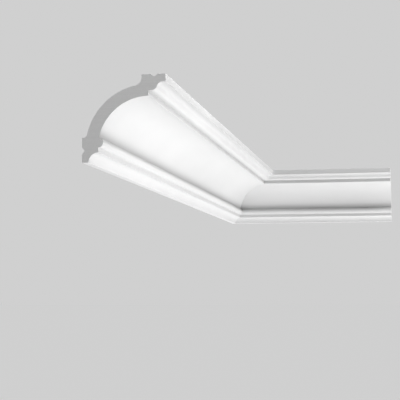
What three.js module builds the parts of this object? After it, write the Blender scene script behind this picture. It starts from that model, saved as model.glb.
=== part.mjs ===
// Cove cornice moulding taken round an inside corner: two lengths of one extruded profile,
// each cut square at its free end and mitred where they meet. Millimetres, +Z up.
// The origin lies on the upright back bed of the long length, half-way along it. +X points
// out from that bed to the moulded side, and +Y runs along the length to the corner.

import * as THREE from "three";

// Overall sizes
const HEIGHT = 95; // from the foot up to the top bed
const PROJECTION = 93; // from the back bed out to the top fillet
const LONG_LENGTH = 1020; // along its back, from the square cut to the corner
const SHORT_LENGTH = 313; // along its back, from the corner to the square cut
const JOINT_GAP = 0.3; // thickness of the adhesive line across the mitre
const ORIGIN_ABOVE_FOOT = 5; // height of the origin on the lower strip of the back bed

// Foot: a thin edge that opens into a cavetto and a small upright fillet
const FOOT_THICKNESS = 7.5;
const FOOT_CAVETTO_RADIUS = 10.8;
const FOOT_FILLET_HEIGHT = 5.5;

// Bead under the cove: a half round, centred on the line of the foot fillet
const BEAD_RADIUS = 5.5;

// Cove: one circular arc, level where it meets the step under the top mouldings
const COVE_RADIUS = 56;
const COVE_END_OUT = 73.8; // distance of its upper end from the back bed
const COVE_END_DROP = 23.8; // depth of its upper end below the top bed

// Top mouldings: an upright step, a level soffit, a cyma reversa and a fillet
const STEP_HEIGHT = 6;
const CYMA_OVOLO_RADIUS = 5.6;
const CYMA_OVOLO_OUT = 77.8; // distance of the ovolo's centre from the back bed
const CYMA_TURN = THREE.MathUtils.degToRad(-16); // from that centre to the line where the cyma turns
const TOP_FILLET_HEIGHT = 8.8;

// Glued side: two flat beds, each scored by a glue groove, and a hollow arc between them
const GROOVE_WIDTH = 7.5;
const GROOVE_DEPTH = 3;
const BACK_GROOVE_UP = 13; // height of the back bed's groove above the foot
const BACK_BED_HEIGHT = 27.3;
const TOP_GROOVE_OUT = 80.3; // distance of the top bed's groove from the back bed
const TOP_BED_WIDTH = 26.8;
const HOLLOW_RADIUS = 68;
const HOLLOW_CENTRE = new THREE.Vector2(72, HEIGHT - 78.8);
const BACK_BED_FILLET = 5;
const TOP_BED_FILLET = 9;

const ARC_STEPS = 12; // half the number of flats that each arc is divided into
const SAME_POINT = 1e-4;

const LEVEL_RIGHT = 0;
const UPRIGHT = Math.PI / 2;
const LEVEL_LEFT = Math.PI;
const DOWNRIGHT = -Math.PI / 2;

// Angle of a point about a centre.
function bearing(centre, point) {
  return Math.atan2(point.y - centre.y, point.x - centre.x);
}

// Where two circles cross, on the left of the line from the first centre to the second.
function crossing(first, firstRadius, second, secondRadius) {
  const apart = first.distanceTo(second);
  const along = second.clone().sub(first).normalize();
  const left = new THREE.Vector2(-along.y, along.x);
  const reach = (firstRadius ** 2 - secondRadius ** 2 + apart ** 2) / (2 * apart);
  const rise = Math.sqrt(firstRadius ** 2 - reach ** 2);
  return first.clone().addScaledVector(along, reach).addScaledVector(left, rise);
}

// Foot, bead, cove and top mouldings: the side that shows, from the foot to the top.
function drawFront(outline) {
  const filletOut = FOOT_THICKNESS + FOOT_CAVETTO_RADIUS;
  const filletTop = FOOT_CAVETTO_RADIUS + FOOT_FILLET_HEIGHT;
  outline.moveTo(0, 0);
  outline.lineTo(FOOT_THICKNESS, 0);
  outline.absarc(filletOut, 0, FOOT_CAVETTO_RADIUS, LEVEL_LEFT, UPRIGHT, true);
  outline.lineTo(filletOut, filletTop);

  // The bead turns back into the cove, and a crease marks the line where they meet.
  const coveEndUp = HEIGHT - COVE_END_DROP;
  const bead = new THREE.Vector2(filletOut, filletTop + BEAD_RADIUS);
  const cove = new THREE.Vector2(COVE_END_OUT, coveEndUp - COVE_RADIUS);
  const crease = crossing(bead, BEAD_RADIUS, cove, COVE_RADIUS);
  outline.absarc(bead.x, bead.y, BEAD_RADIUS, DOWNRIGHT, bearing(bead, crease), false);
  outline.absarc(cove.x, cove.y, COVE_RADIUS, bearing(cove, crease), UPRIGHT, true);

  // The cyma's cavetto carries on from its ovolo and ends level, at the foot of the top fillet.
  const soffitUp = coveEndUp + STEP_HEIGHT;
  const filletFoot = HEIGHT - TOP_FILLET_HEIGHT;
  const ovolo = new THREE.Vector2(CYMA_OVOLO_OUT, soffitUp + CYMA_OVOLO_RADIUS);
  const turn = new THREE.Vector2(Math.cos(CYMA_TURN), Math.sin(CYMA_TURN));
  const cavettoRadius = (filletFoot - ovolo.y - CYMA_OVOLO_RADIUS * turn.y) / (1 + turn.y);
  const cavetto = ovolo.clone().addScaledVector(turn, CYMA_OVOLO_RADIUS + cavettoRadius);
  outline.lineTo(COVE_END_OUT, soffitUp);
  outline.absarc(ovolo.x, ovolo.y, CYMA_OVOLO_RADIUS, DOWNRIGHT, CYMA_TURN, false);
  outline.absarc(cavetto.x, cavetto.y, cavettoRadius, CYMA_TURN + Math.PI, UPRIGHT, true);
  outline.lineTo(PROJECTION, filletFoot);
  outline.lineTo(PROJECTION, HEIGHT);
}

// Top bed, hollow and back bed: the side that is glued up, from the top to the foot.
function drawBack(outline) {
  outline.lineTo(TOP_GROOVE_OUT + GROOVE_WIDTH / 2, HEIGHT);
  outline.lineTo(TOP_GROOVE_OUT, HEIGHT - GROOVE_DEPTH);
  outline.lineTo(TOP_GROOVE_OUT - GROOVE_WIDTH / 2, HEIGHT);

  // The upper fillet touches the upright side of the top bed and the hollow arc.
  const bedEdge = PROJECTION - TOP_BED_WIDTH;
  const upperOut = bedEdge - TOP_BED_FILLET;
  const upperReach = HOLLOW_RADIUS + TOP_BED_FILLET;
  const upper = new THREE.Vector2(
    upperOut,
    HOLLOW_CENTRE.y + Math.sqrt(upperReach ** 2 - (HOLLOW_CENTRE.x - upperOut) ** 2),
  );
  outline.lineTo(bedEdge, HEIGHT);
  outline.absarc(
    upper.x, upper.y, TOP_BED_FILLET, LEVEL_RIGHT, bearing(upper, HOLLOW_CENTRE), true,
  );

  // The lower fillet touches the hollow arc and the level top of the back bed.
  const lowerUp = BACK_BED_HEIGHT + BACK_BED_FILLET;
  const lowerReach = HOLLOW_RADIUS + BACK_BED_FILLET;
  const lower = new THREE.Vector2(
    HOLLOW_CENTRE.x - Math.sqrt(lowerReach ** 2 - (lowerUp - HOLLOW_CENTRE.y) ** 2),
    lowerUp,
  );
  outline.absarc(
    HOLLOW_CENTRE.x, HOLLOW_CENTRE.y, HOLLOW_RADIUS,
    bearing(HOLLOW_CENTRE, upper), bearing(HOLLOW_CENTRE, lower), false,
  );
  outline.absarc(
    lower.x, lower.y, BACK_BED_FILLET, bearing(lower, HOLLOW_CENTRE), DOWNRIGHT, true,
  );
  outline.lineTo(0, BACK_BED_HEIGHT);

  outline.lineTo(0, BACK_GROOVE_UP + GROOVE_WIDTH / 2);
  outline.lineTo(GROOVE_DEPTH, BACK_GROOVE_UP);
  outline.lineTo(0, BACK_GROOVE_UP - GROOVE_WIDTH / 2);
}

// The whole profile: x out from the back bed, y up from the foot.
function profile() {
  const outline = new THREE.Path();
  drawFront(outline);
  drawBack(outline);
  const points = outline.getPoints(ARC_STEPS);
  const distinct = points.filter(
    (point, i) => i === 0 || point.distanceTo(points[i - 1]) > SAME_POINT,
  );
  return new THREE.Shape(distinct);
}

// A length of the profile along Y, with its corner end at y = 0 and the rest on one side of it.
// Every point of the corner end slides along by its own distance from the back, which lays the
// end on a mitre of 45 degrees, half the adhesive line short of the joint's middle.
function mouldingLength(name, length, side, material) {
  const geometry = new THREE.ExtrudeGeometry(profile(), {
    depth: length,
    steps: 1,
    bevelEnabled: false,
  });
  geometry.rotateX(Math.PI / 2);
  if (side > 0) geometry.translate(0, length, 0);

  const setback = JOINT_GAP / Math.SQRT2;
  const position = geometry.attributes.position;
  for (let i = 0; i < position.count; i++) {
    if (Math.abs(position.getY(i)) < SAME_POINT) {
      position.setY(i, side * (position.getX(i) + setback));
    }
  }
  const mesh = new THREE.Mesh(geometry, material);
  mesh.name = name;
  return mesh;
}

const primedWhite = new THREE.MeshStandardMaterial({
  color: 0xf1f1ef,
  roughness: 0.55,
  metalness: 0,
});

// The inside corner at the height of the foot. The long length ends there, and the short one
// is turned a quarter to run out from it.
const corner = new THREE.Group();
corner.position.set(0, LONG_LENGTH / 2, -ORIGIN_ABOVE_FOOT);

const longLength = mouldingLength("cornice_length_long", LONG_LENGTH, -1, primedWhite);
corner.add(longLength);

const shortLength = mouldingLength("cornice_length_short", SHORT_LENGTH, 1, primedWhite.clone());
shortLength.rotation.z = -Math.PI / 2;
corner.add(shortLength);

const cornice = new THREE.Group();
cornice.add(corner);

export default cornice;
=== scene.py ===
import math

import bmesh
import bpy
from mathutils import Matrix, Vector
from mathutils.geometry import intersect_sphere_sphere_2d


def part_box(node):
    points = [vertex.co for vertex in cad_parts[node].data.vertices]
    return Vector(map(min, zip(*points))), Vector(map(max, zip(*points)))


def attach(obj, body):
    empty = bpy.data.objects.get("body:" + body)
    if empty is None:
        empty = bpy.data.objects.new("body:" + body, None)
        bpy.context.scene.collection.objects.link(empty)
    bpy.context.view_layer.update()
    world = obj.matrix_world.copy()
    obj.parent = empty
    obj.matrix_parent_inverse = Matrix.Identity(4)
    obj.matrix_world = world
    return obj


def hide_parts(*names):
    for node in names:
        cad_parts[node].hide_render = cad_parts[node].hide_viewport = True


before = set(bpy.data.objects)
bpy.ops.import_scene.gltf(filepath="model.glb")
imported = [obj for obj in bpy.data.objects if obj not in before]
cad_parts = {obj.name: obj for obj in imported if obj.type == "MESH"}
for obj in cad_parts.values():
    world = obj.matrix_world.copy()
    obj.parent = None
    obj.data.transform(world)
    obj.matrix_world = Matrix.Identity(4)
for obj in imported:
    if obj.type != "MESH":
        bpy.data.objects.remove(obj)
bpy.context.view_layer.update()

# Moulding stock
# One straight run of the cornice as it leaves the die: rigid polymer foam with a white primed face, a
# cove between a bead and a stepped cyma. It is glued up by two flat beds, one at the back and one on
# top, each scored by a groove, with a hollow between. It is too long at each end, to be sawn to fit.
long_low, long_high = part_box("cornice_length_long")
_, short_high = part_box("cornice_length_short")
back_x = long_low.x
far_back_y = short_high.y
foot_z = long_low.z
near_end_y = long_low.y
right_end_x = short_high.x

height = long_high.z - foot_z
projection = long_high.x - back_x
foot_thickness = 0.0075
foot_cavetto_radius = 0.0108
foot_fillet_height = 0.0055
bead_radius = 0.0055
cove_radius = 0.056
cove_end_out = 0.0738
cove_end_drop = 0.0238
step_height = 0.006
cyma_ovolo_radius = 0.0056
cyma_ovolo_out = 0.0778
cyma_lean = 16
top_fillet_height = 0.0088
groove_width = 0.0075
groove_depth = 0.003
back_groove_up = 0.013
back_bed_height = 0.0273
back_bed_fillet = 0.005
top_groove_out = 0.0803
top_bed_width = 0.0268
top_bed_fillet = 0.009
hollow_radius = 0.068
hollow_centre_out = 0.072
hollow_centre_drop = 0.0788

outer_arris = 0.0004
inner_arris = 0.0003
arris_flats = 4
flat_sagitta = 0.000006
saw_allowance = 0.03
same_place = 1e-6


def outline_end():
    """Gives the point that the outline has got to, which is the selected one."""
    mesh = bmesh.from_edit_mesh(bpy.context.object.data)
    return next(vertex.co.copy() for vertex in mesh.verts if vertex.select)


def draw_to(out, up):
    """Draws the outline on to a point, out from the back and up from the foot."""
    here = outline_end()
    step = Vector((back_x + out, here.y, foot_z + up)) - here
    bpy.ops.mesh.extrude_region_move(TRANSFORM_OT_translate={"value": step})


def draw_arc(centre_out, centre_up, degrees):
    """Draws the outline on round a centre, to the left if degrees is positive."""
    here = outline_end()
    centre = Vector((back_x + centre_out, here.y, foot_z + centre_up))
    radius = (here - centre).length
    flat_angle = 2 * math.acos(1 - flat_sagitta / radius)
    angle = math.radians(degrees)
    flats = math.ceil(abs(angle) / flat_angle)
    bpy.ops.mesh.spin(steps=flats, angle=angle, center=centre, axis=(0, 1, 0))


def turn_between(centre, start, end):
    """Angle in degrees from one point to another about a centre, each as (out, up)."""
    first = math.atan2(start[1] - centre[1], start[0] - centre[0])
    last = math.atan2(end[1] - centre[1], end[0] - centre[0])
    return math.degrees(last - first)


def inside_outline(point, mesh):
    """Tells whether a point lies in the section, by counting the edges to the right of it."""
    crossings = 0
    for edge in mesh.edges:
        a, b = (vertex.co for vertex in edge.verts)
        if (a.z > point.z) != (b.z > point.z):
            share = (point.z - a.z) / (b.z - a.z)
            crossings += a.x + share * (b.x - a.x) > point.x
    return crossings % 2 == 1


def round_corners(bulging, arris):
    """Rounds the outline's outer corners, or its inner ones, and leaves the smooth arcs alone."""
    sharp_turn = math.radians(15)
    mesh = bmesh.from_edit_mesh(bpy.context.object.data)
    bpy.ops.mesh.select_all(action="DESELECT")
    for vertex in mesh.verts:
        before, after = (edge.other_vert(vertex).co - vertex.co for edge in vertex.link_edges)
        turns = math.pi - before.angle(after) > sharp_turn
        middle = vertex.co + (before.normalized() + after.normalized()) * arris
        if turns and inside_outline(middle, mesh) == bulging:
            vertex.select = True
    mesh.select_flush_mode()
    bpy.ops.mesh.bevel(offset=arris, segments=arris_flats, affect="VERTICES")


# A single point at the heel of the foot, from which the outline is drawn
stock_start_y = near_end_y - saw_allowance
stock_length = far_back_y + saw_allowance - stock_start_y
bpy.ops.object.select_all(action="DESELECT")
bpy.ops.mesh.primitive_plane_add(size=foot_thickness, location=(back_x, stock_start_y, foot_z))
stock = bpy.context.object
stock.name = "moulding_stock"
bpy.ops.object.transform_apply(location=True, rotation=True, scale=True)
bpy.ops.object.mode_set(mode="EDIT")
bpy.ops.mesh.merge(type="CENTER")

# The side that shows: foot, bead and cove
fillet_out = foot_thickness + foot_cavetto_radius
fillet_top = foot_cavetto_radius + foot_fillet_height
draw_to(foot_thickness, 0)
draw_arc(fillet_out, 0, -90)
draw_to(fillet_out, fillet_top)

cove_top = height - cove_end_drop
bead_centre = Vector((fillet_out, fillet_top + bead_radius))
cove_centre = Vector((cove_end_out, cove_top - cove_radius))
crossings = intersect_sphere_sphere_2d(bead_centre, bead_radius, cove_centre, cove_radius)
crease = max(crossings, key=lambda point: point.y)
draw_arc(*bead_centre, turn_between(bead_centre, (fillet_out, fillet_top), crease))
draw_arc(*cove_centre, turn_between(cove_centre, crease, (cove_end_out, cove_top)))

# The side that shows: step, cyma and top fillet
soffit_up = cove_top + step_height
top_fillet_foot = height - top_fillet_height
ovolo_centre = Vector((cyma_ovolo_out, soffit_up + cyma_ovolo_radius))
cyma_turn = Vector((math.cos(math.radians(cyma_lean)), -math.sin(math.radians(cyma_lean))))
cavetto_rise = top_fillet_foot - ovolo_centre.y - cyma_ovolo_radius * cyma_turn.y
cyma_cavetto_radius = cavetto_rise / (1 + cyma_turn.y)
cavetto_centre = ovolo_centre + cyma_turn * (cyma_ovolo_radius + cyma_cavetto_radius)
draw_to(cove_end_out, soffit_up)
draw_to(cyma_ovolo_out, soffit_up)
draw_arc(*ovolo_centre, 90 - cyma_lean)
draw_arc(*cavetto_centre, cyma_lean - 90)
draw_to(projection, top_fillet_foot)
draw_to(projection, height)

# The side that is glued up: top bed, hollow and back bed
draw_to(top_groove_out + groove_width / 2, height)
draw_to(top_groove_out, height - groove_depth)
draw_to(top_groove_out - groove_width / 2, height)

hollow_centre = Vector((hollow_centre_out, height - hollow_centre_drop))
bed_edge = projection - top_bed_width
upper_centre = Vector((bed_edge - top_bed_fillet, 0))
upper_reach = hollow_radius + top_bed_fillet
upper_centre.y = hollow_centre.y + math.sqrt(upper_reach**2 - (hollow_centre.x - upper_centre.x) ** 2)
lower_centre = Vector((0, back_bed_height + back_bed_fillet))
lower_reach = hollow_radius + back_bed_fillet
lower_centre.x = hollow_centre.x - math.sqrt(lower_reach**2 - (lower_centre.y - hollow_centre.y) ** 2)
upper_tangent = upper_centre.lerp(hollow_centre, top_bed_fillet / upper_reach)
lower_tangent = lower_centre.lerp(hollow_centre, back_bed_fillet / lower_reach)
draw_to(bed_edge, height)
draw_to(bed_edge, upper_centre.y)
draw_arc(*upper_centre, turn_between(upper_centre, (bed_edge, upper_centre.y), upper_tangent))
draw_arc(*hollow_centre, turn_between(hollow_centre, upper_tangent, lower_tangent))
draw_arc(*lower_centre, turn_between(lower_centre, lower_tangent, (lower_centre.x, back_bed_height)))
draw_to(0, back_bed_height)
draw_to(0, back_groove_up + groove_width / 2)
draw_to(groove_depth, back_groove_up)
draw_to(0, back_groove_up - groove_width / 2)
draw_to(0, 0)

# The outline closed, its corners eased, and the run drawn out of it
bpy.ops.mesh.select_all(action="SELECT")
bpy.ops.mesh.remove_doubles(threshold=same_place)
round_corners(True, outer_arris)
round_corners(False, inner_arris)
bpy.ops.mesh.select_all(action="SELECT")
bpy.ops.mesh.edge_face_add()
bpy.ops.mesh.extrude_region_move(TRANSFORM_OT_translate={"value": (0, stock_length, 0)})
bpy.ops.mesh.select_all(action="SELECT")
bpy.ops.mesh.normals_make_consistent(inside=False)
bpy.ops.object.mode_set(mode="OBJECT")

# Each point keeps its place on the run (out, along, up), so that the patterns turn the corner with it
run_place = stock.data.attributes.new("run_place", "FLOAT_VECTOR", "POINT")
stock_origin = Vector((back_x, stock_start_y, foot_z))
for vertex, place in zip(stock.data.vertices, run_place.data):
    place.vector = vertex.co - stock_origin


def new_group(name, numbers, result):
    """Starts a group of shader nodes that reads a place and some numbers and gives one number."""
    group = bpy.data.node_groups.new(name, "ShaderNodeTree")
    group.interface.new_socket("Place", in_out="INPUT", socket_type="NodeSocketVector")
    for number in numbers:
        group.interface.new_socket(number, in_out="INPUT", socket_type="NodeSocketFloat")
    group.interface.new_socket(result, in_out="OUTPUT", socket_type="NodeSocketFloat")
    given = group.nodes.new("NodeGroupInput").outputs
    wanted = group.nodes.new("NodeGroupOutput").inputs[result]
    return group, given, wanted


def feed(socket, source):
    """Links a socket to another one, or sets its value."""
    if isinstance(source, bpy.types.NodeSocket):
        socket.id_data.links.new(source, socket)
    else:
        socket.default_value = source


def work_out(tree, operation, first, second):
    """Adds a sum and returns its result."""
    node = tree.nodes.new("ShaderNodeMath")
    node.operation = operation
    feed(node.inputs[0], first)
    feed(node.inputs[1], second)
    return node.outputs[0]


def spread(tree, value, low, high, to_low=0.0, to_high=1.0, smooth=False):
    """Brings a value from one range to another and stops it at the ends."""
    node = tree.nodes.new("ShaderNodeMapRange")
    node.interpolation_type = "SMOOTHSTEP" if smooth else "LINEAR"
    feed(node.inputs["Value"], value)
    feed(node.inputs["From Min"], low)
    feed(node.inputs["From Max"], high)
    feed(node.inputs["To Min"], to_low)
    feed(node.inputs["To Max"], to_high)
    return node.outputs[0]


def noise(tree, place, waves, detail=2.0):
    """Adds a soft random pattern of so many waves in a metre."""
    node = tree.nodes.new("ShaderNodeTexNoise")
    feed(node.inputs["Vector"], place)
    feed(node.inputs["Scale"], waves)
    feed(node.inputs["Detail"], detail)
    return node.outputs[0]


def blend(tree, share, first, second):
    """Mixes two colours, whose sockets come after the node's sockets for numbers and vectors."""
    node = tree.nodes.new("ShaderNodeMix")
    node.data_type = "RGBA"
    feed(node.inputs[0], share)
    feed(node.inputs[6], first)
    feed(node.inputs[7], second)
    return node.outputs[2]


def grey(value, warmth=0.0):
    """A grey, a little yellow if it is warm."""
    return (value, value * (1 - warmth / 3), value * (1 - warmth), 1)


# Faint lines that the die leaves along the run, which is squeezed to draw the noise out into lines
line_squeeze = (1, 0.002, 1)
line_faint = 0.3
line_full = 0.7
die_lines, given, lines_drawn = new_group("die_lines", ["Spacing"], "Lines")
squeezed = die_lines.nodes.new("ShaderNodeVectorMath")
squeezed.operation = "MULTIPLY"
feed(squeezed.inputs[0], given["Place"])
feed(squeezed.inputs[1], line_squeeze)
lines_per_metre = work_out(die_lines, "DIVIDE", 1.0, given["Spacing"])
line_noise = noise(die_lines, squeezed.outputs[0], lines_per_metre)
feed(lines_drawn, spread(die_lines, line_noise, line_faint, line_full))

# Closed cells of the foam, from 0 in the middle of a cell to 1 at its edge
cell_middle = 0.15
cell_edge = 0.6
foam_cells, given, cells_drawn = new_group("foam_cells", ["Size"], "Edges")
cell_pattern = foam_cells.nodes.new("ShaderNodeTexVoronoi")
feed(cell_pattern.inputs["Vector"], given["Place"])
feed(cell_pattern.inputs["Scale"], work_out(foam_cells, "DIVIDE", 1.0, given["Size"]))
feed(cells_drawn, spread(foam_cells, cell_pattern.outputs["Distance"], cell_middle, cell_edge))

# Shade painted into a crease: 1 at the crease, fading within its reach
painted_crease_shade, given, painted_shade_out = new_group("painted_crease_shade", ["Out", "Up", "Reach"], "PaintedShade")
place_parts = painted_crease_shade.nodes.new("ShaderNodeSeparateXYZ")
feed(place_parts.inputs[0], given["Place"])
aside = work_out(painted_crease_shade, "SUBTRACT", place_parts.outputs["X"], given["Out"])
above = work_out(painted_crease_shade, "SUBTRACT", place_parts.outputs["Z"], given["Up"])
aside_square = work_out(painted_crease_shade, "MULTIPLY", aside, aside)
above_square = work_out(painted_crease_shade, "MULTIPLY", above, above)
reach_square = work_out(painted_crease_shade, "MULTIPLY", given["Reach"], given["Reach"])
square_sum = work_out(painted_crease_shade, "ADD", aside_square, above_square)
fall = work_out(painted_crease_shade, "DIVIDE", square_sum, reach_square)
feed(painted_shade_out, work_out(painted_crease_shade, "POWER", math.exp(-1), fall))


def start_material(name):
    """Starts a material; gives its nodes, its shader and the place that its patterns follow."""
    material = bpy.data.materials.new(name)
    material.use_nodes = True
    tree = material.node_tree
    attribute = tree.nodes.new("ShaderNodeAttribute")
    attribute.attribute_name = "run_place"
    return material, tree, tree.nodes["Principled BSDF"], attribute.outputs["Vector"]


def use_group(tree, group, **inputs):
    """Places a group in a material with its own values and returns its result."""
    node = tree.nodes.new("ShaderNodeGroup")
    node.node_tree = group
    for socket, source in inputs.items():
        feed(node.inputs[socket], source)
    return node.outputs[0]


def roughen(tree, shader, surface, depth, strength):
    """Gives the surface its fine relief."""
    bump = tree.nodes.new("ShaderNodeBump")
    feed(bump.inputs["Height"], surface)
    bump.inputs["Distance"].default_value = depth
    bump.inputs["Strength"].default_value = strength
    feed(shader.inputs["Normal"], bump.outputs["Normal"])


# White primer with a soft sheen: a fine orange-peel grain over faint die lines, with shade painted into
# the creases, over the bead's upper half and into three inner corners
primer_dull = grey(0.81)
primer_bright = grey(0.83)
painted_shade_grey = grey(0.49)
primer_sheen = (0.44, 0.56)
primer_cloud_waves = 14.0
cloud_detail = 3.0
white_range = (0.35, 0.65)
sheen_range = (0.3, 0.7)
peel_waves = 1100.0
peel_depth = 0.00003
peel_strength = 0.35
primer_line_spacing = 0.0016
primer_line_share = 0.5
crease_shade_reach = 0.008
# Painted shade on the bead's upper half, fading in from just below the bead's middle
bead_unshaded_below = bead_centre.y - 0.0013
bead_shaded_above = bead_centre.y + 0.0022
# Shade painted into three inner corners: above the foot fillet, in the step and under the top fillet
shaded_corners = [  # out, up, reach, most
    (fillet_out, fillet_top - foot_fillet_height / 2, 0.003, 0.3),
    (cove_end_out, soffit_up - step_height / 4, 0.0035, 0.62),
    (cavetto_centre.x, top_fillet_foot, 0.005, 0.3),
]
primed_skin, tree, shader, place = start_material("primed_skin")
crease_shade = use_group(tree, painted_crease_shade, Place=place, Out=crease.x, Up=crease.y, Reach=crease_shade_reach)
place_parts = tree.nodes.new("ShaderNodeSeparateXYZ")
feed(place_parts.inputs[0], place)
up_the_face = place_parts.outputs["Z"]
bead_top_shade = spread(tree, up_the_face, bead_unshaded_below, bead_shaded_above, smooth=True)
# Painted shade: the crease's shade only over the bead's upper half, then the darker of it and each
# corner's shade
shade_share = work_out(tree, "MULTIPLY", crease_shade, bead_top_shade)
for out, up, reach, most in shaded_corners:
    corner_shade = use_group(tree, painted_crease_shade, Place=place, Out=out, Up=up, Reach=reach)
    corner_share = work_out(tree, "MULTIPLY", corner_shade, most)
    shade_share = work_out(tree, "MAXIMUM", shade_share, corner_share)
cloud = noise(tree, place, primer_cloud_waves, cloud_detail)
grain = noise(tree, place, peel_waves)
lines = use_group(tree, die_lines, Place=place, Spacing=primer_line_spacing)
white = blend(tree, spread(tree, cloud, *white_range), primer_dull, primer_bright)
# The painted shade darkens the white towards a mid grey
feed(shader.inputs["Base Color"], blend(tree, shade_share, white, painted_shade_grey))
feed(shader.inputs["Roughness"], spread(tree, cloud, *sheen_range, *primer_sheen))
peel = work_out(tree, "ADD", grain, work_out(tree, "MULTIPLY", lines, primer_line_share))
roughen(tree, shader, peel, peel_depth, peel_strength)

# Bare extruded foam on the glued side: duller and greyer, with plain die lines and a few open cells
back_dark_line = grey(0.64, 0.02)
back_pale_line = grey(0.7, 0.02)
back_stain = grey(0.58, 0.03)
back_open_cell = grey(0.42, 0.03)
back_sheen = (0.62, 0.74)
back_line_spacing = 0.0022
back_line_depth = 0.00008
back_line_strength = 0.5
back_cell_size = 0.0016
back_cloud_waves = 20.0
stain_range = (0.4, 0.75)
most_stain = 0.4
open_range = (0.02, 0.0)
most_open = 0.35
raw_back, tree, shader, place = start_material("raw_back")
lines = use_group(tree, die_lines, Place=place, Spacing=back_line_spacing)
cells = use_group(tree, foam_cells, Place=place, Size=back_cell_size)
cloud = noise(tree, place, back_cloud_waves, cloud_detail)
drawn = blend(tree, lines, back_dark_line, back_pale_line)
stained = blend(tree, spread(tree, cloud, *stain_range, 0.0, most_stain), drawn, back_stain)
open_cell = spread(tree, cells, *open_range, 0.0, most_open)
feed(shader.inputs["Base Color"], blend(tree, open_cell, stained, back_open_cell))
feed(shader.inputs["Roughness"], spread(tree, lines, 0.0, 1.0, *back_sheen))
roughen(tree, shader, lines, back_line_depth, back_line_strength)

# Sawn foam: pale grey closed cells, crossed by the faint scores of the saw
cell_grey = grey(0.84)
cell_edge_grey = grey(0.89)
score_grey = grey(0.82)
sawn_sheen = (0.95, 0.82)
sawn_cell_size = 0.0007
score_lean = math.radians(24)
score_squeeze = (0.03, 0.03, 1)
score_waves = 700.0
score_range = (0.35, 0.7)
most_score = 0.5
torn_depth = 0.00012
torn_strength = 0.4
sawn_core, tree, shader, place = start_material("sawn_core")
cells = use_group(tree, foam_cells, Place=place, Size=sawn_cell_size)
across = tree.nodes.new("ShaderNodeMapping")
feed(across.inputs["Vector"], place)
across.inputs["Rotation"].default_value = (0, score_lean, 0)
across.inputs["Scale"].default_value = score_squeeze
scores = noise(tree, across.outputs[0], score_waves)
score_share = spread(tree, scores, *score_range, 0.0, most_score)
cut_cells = blend(tree, cells, cell_grey, cell_edge_grey)
feed(shader.inputs["Base Color"], blend(tree, score_share, cut_cells, score_grey))
feed(shader.inputs["Roughness"], spread(tree, cells, 0.0, 1.0, *sawn_sheen))
torn = work_out(tree, "ADD", cells, scores)
roughen(tree, shader, torn, torn_depth, torn_strength)


def select_faces(wanted):
    """Selects the faces of the mesh being edited that a test on their middle and normal picks."""
    bpy.ops.mesh.select_mode(type="FACE")
    bpy.ops.mesh.select_all(action="DESELECT")
    mesh = bmesh.from_edit_mesh(bpy.context.object.data)
    for face in mesh.faces:
        face.select = wanted(face.calc_center_median(), face.normal)
    mesh.select_flush(True)


def glued_side(middle, normal):
    """Faces of the two beds and the hollow between them, but not the top of the bead."""
    leans_back = normal.z - normal.x > 0.05
    stock_end = abs(normal.y) > 0.5
    on_bead = middle.x > back_x + fillet_out and middle.z < foot_z + crease.y + inner_arris
    return leans_back and not stock_end and not on_bead


finishes = [primed_skin, raw_back, sawn_core]
for finish in finishes:
    stock.data.materials.append(finish)
bpy.ops.object.mode_set(mode="EDIT")
select_faces(glued_side)
stock.active_material_index = finishes.index(raw_back)
bpy.ops.object.material_slot_assign()
bpy.ops.object.mode_set(mode="OBJECT")

# Long length
# The left-hand length of primed foam, sawn square at its near end and mitred at the inside corner. It is
# glued up by its two beds, and its mitre is glued and filled against the other length.
mitre_arris = 0.0001
saw_arris = 0.00015
corner = Vector((back_x, far_back_y, 0))


def cut_from_stock(name):
    """Takes a copy of the stock, with a mesh of its own, and opens it for sawing."""
    bpy.ops.object.select_all(action="DESELECT")
    bpy.context.view_layer.objects.active = stock
    stock.select_set(True)
    bpy.ops.object.duplicate()
    piece = bpy.context.object
    piece.name = name
    piece.data.name = name
    bpy.ops.object.mode_set(mode="EDIT")
    return piece


def saw_off(at, away, arris):
    """Saws through the piece, clears what lies away from the cut, and eases the edge of the sawn face."""
    away = Vector(away).normalized()
    cut = Vector(at) - away * arris

    def sawn(middle, normal):
        return abs((middle - cut).dot(away)) < same_place and normal.dot(away) > 0.99

    bpy.ops.mesh.select_all(action="SELECT")
    bpy.ops.mesh.bisect(plane_co=cut, plane_no=away, use_fill=True, clear_outer=True)
    select_faces(sawn)
    bpy.ops.mesh.inset(thickness=arris, depth=arris)
    bpy.context.object.active_material_index = finishes.index(sawn_core)
    bpy.ops.object.material_slot_assign()


def finish_piece():
    """Closes the piece: smooth curves, crisp arrises and flats that stay flat."""
    crisp_turn = math.radians(30)
    bpy.ops.object.mode_set(mode="OBJECT")
    bpy.ops.object.shade_smooth_by_angle(angle=crisp_turn)
    bpy.ops.object.modifier_add(type="WEIGHTED_NORMAL")
    flat_faces = bpy.context.object.modifiers[-1]
    flat_faces.keep_sharp = True
    bpy.ops.object.modifier_apply(modifier=flat_faces.name)


long_length = cut_from_stock("long_length")
saw_off((0, near_end_y, 0), (0, -1, 0), saw_arris)
saw_off(corner, (1, 1, 0), mitre_arris)
finish_piece()
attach(long_length, "root")
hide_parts("cornice_length_long")

# Short length
# The right-hand length, of the same stock and turned a quarter to run on from the corner. It is mitred
# there, sawn square at its right end and glued up in the same way.
short_length = cut_from_stock("short_length")
bpy.ops.mesh.select_all(action="SELECT")
bpy.ops.transform.translate(value=(0, right_end_x + saw_allowance, 0))
bpy.ops.transform.rotate(value=math.radians(90), orient_axis="Z", center_override=corner)
saw_off((right_end_x, 0, 0), (1, 0, 0), saw_arris)
saw_off(corner, (-1, -1, 0), mitre_arris)
finish_piece()
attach(short_length, "root")
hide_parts("cornice_length_short")
bpy.data.objects.remove(stock)

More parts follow.
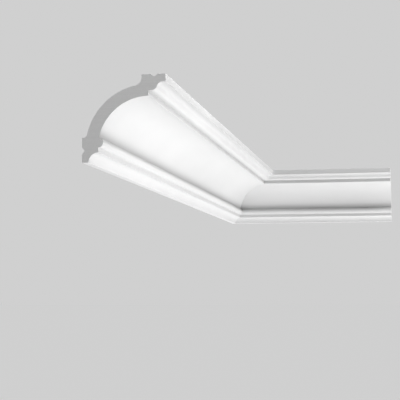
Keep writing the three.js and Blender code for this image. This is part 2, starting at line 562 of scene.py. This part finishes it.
# Floor, lights and camera
# A plain pale floor that runs on to the horizon, in front of a backdrop of the same shade. A lamp
# overhead lights the floor, and soft panels light the cornice from the right, from above and from below.
floor_drop = 1.5
floor_size = 400
floor_grey = grey(0.9)
backdrop_grey = grey(0.63)
shade_grey = grey(0.06)
overhead_strength = 2.0
overhead_softness = math.radians(30)
cornice_middle = Vector((0.08, 0.05, 0.04))
near_half = Vector((0.05, -0.35, 0.04))
right_end = Vector((0.25, 0.45, 0.04))
lens = 98.756
camera_place = (0.3505, -1.6482, -0.1498)
camera_rise = 5.03
camera_turn = 10.93

bpy.ops.object.select_all(action="DESELECT")
bpy.ops.mesh.primitive_plane_add(size=floor_size, location=(0, 0, -floor_drop))
floor = bpy.context.object
floor.name = "floor"
floor_paint = bpy.data.materials.new("floor_paint")
floor_paint.use_nodes = True
floor_shader = floor_paint.node_tree.nodes["Principled BSDF"]
floor_shader.inputs["Base Color"].default_value = floor_grey
floor_shader.inputs["Roughness"].default_value = 1
floor_shader.inputs["Specular IOR Level"].default_value = 0
floor.data.materials.append(floor_paint)

# The backdrop is what the camera sees, and the weaker light is what falls on the cornice
world = bpy.data.worlds.new("studio")
bpy.context.scene.world = world
world.use_nodes = True
studio = world.node_tree
shade_light = studio.nodes["Background"]
shade_light.inputs["Color"].default_value = shade_grey
backdrop = studio.nodes.new("ShaderNodeBackground")
backdrop.inputs["Color"].default_value = backdrop_grey
seen = studio.nodes.new("ShaderNodeLightPath")
studio_mix = studio.nodes.new("ShaderNodeMixShader")
feed(studio_mix.inputs[0], seen.outputs["Is Camera Ray"])
feed(studio_mix.inputs[1], shade_light.outputs[0])
feed(studio_mix.inputs[2], backdrop.outputs[0])
feed(studio.nodes["World Output"].inputs["Surface"], studio_mix.outputs[0])

overhead = bpy.data.lights.new("overhead", "SUN")
overhead.energy = overhead_strength
overhead.angle = overhead_softness
bpy.context.scene.collection.objects.link(bpy.data.objects.new("overhead", overhead))


def soft_panel(name, place, aim, size, watts, spread_angle=180):
    """A square soft light on the cornice, out of the camera's sight; a grid can narrow its spread."""
    panel = bpy.data.lights.new(name, "AREA")
    panel.size = size
    panel.energy = watts
    panel.spread = math.radians(spread_angle)
    light = bpy.data.objects.new(name, panel)
    light.location = place
    light.rotation_euler = (aim - Vector(place)).to_track_quat("-Z", "Y").to_euler()
    light.visible_camera = False
    bpy.context.scene.collection.objects.link(light)


soft_panel("right_far", (1.3, 0.6, 0.4), cornice_middle, 1.0, 4.9)
soft_panel("right_above", (0.8, -0.1, 0.95), cornice_middle, 0.8, 5.3)
soft_panel("right_below", (0.7, 0.3, -1.1), cornice_middle, 0.9, 2.8)
soft_panel("far_below", (0.1, 1.0, -0.9), cornice_middle, 1.2, 4.0)
soft_panel("near_right", (0.7, -0.6, -0.05), near_half, 0.5, 0.41, 60)
soft_panel("end_below", (0.65, 0.1, -0.4), right_end, 0.4, 1.1)

camera_data = bpy.data.cameras.new("camera")
camera_data.lens = lens
camera = bpy.data.objects.new("camera", camera_data)
camera.location = camera_place
camera.rotation_euler = (math.radians(90 + camera_rise), 0, math.radians(camera_turn))
bpy.context.scene.collection.objects.link(camera)
bpy.context.scene.camera = camera
bpy.context.scene.view_settings.view_transform = "Standard"
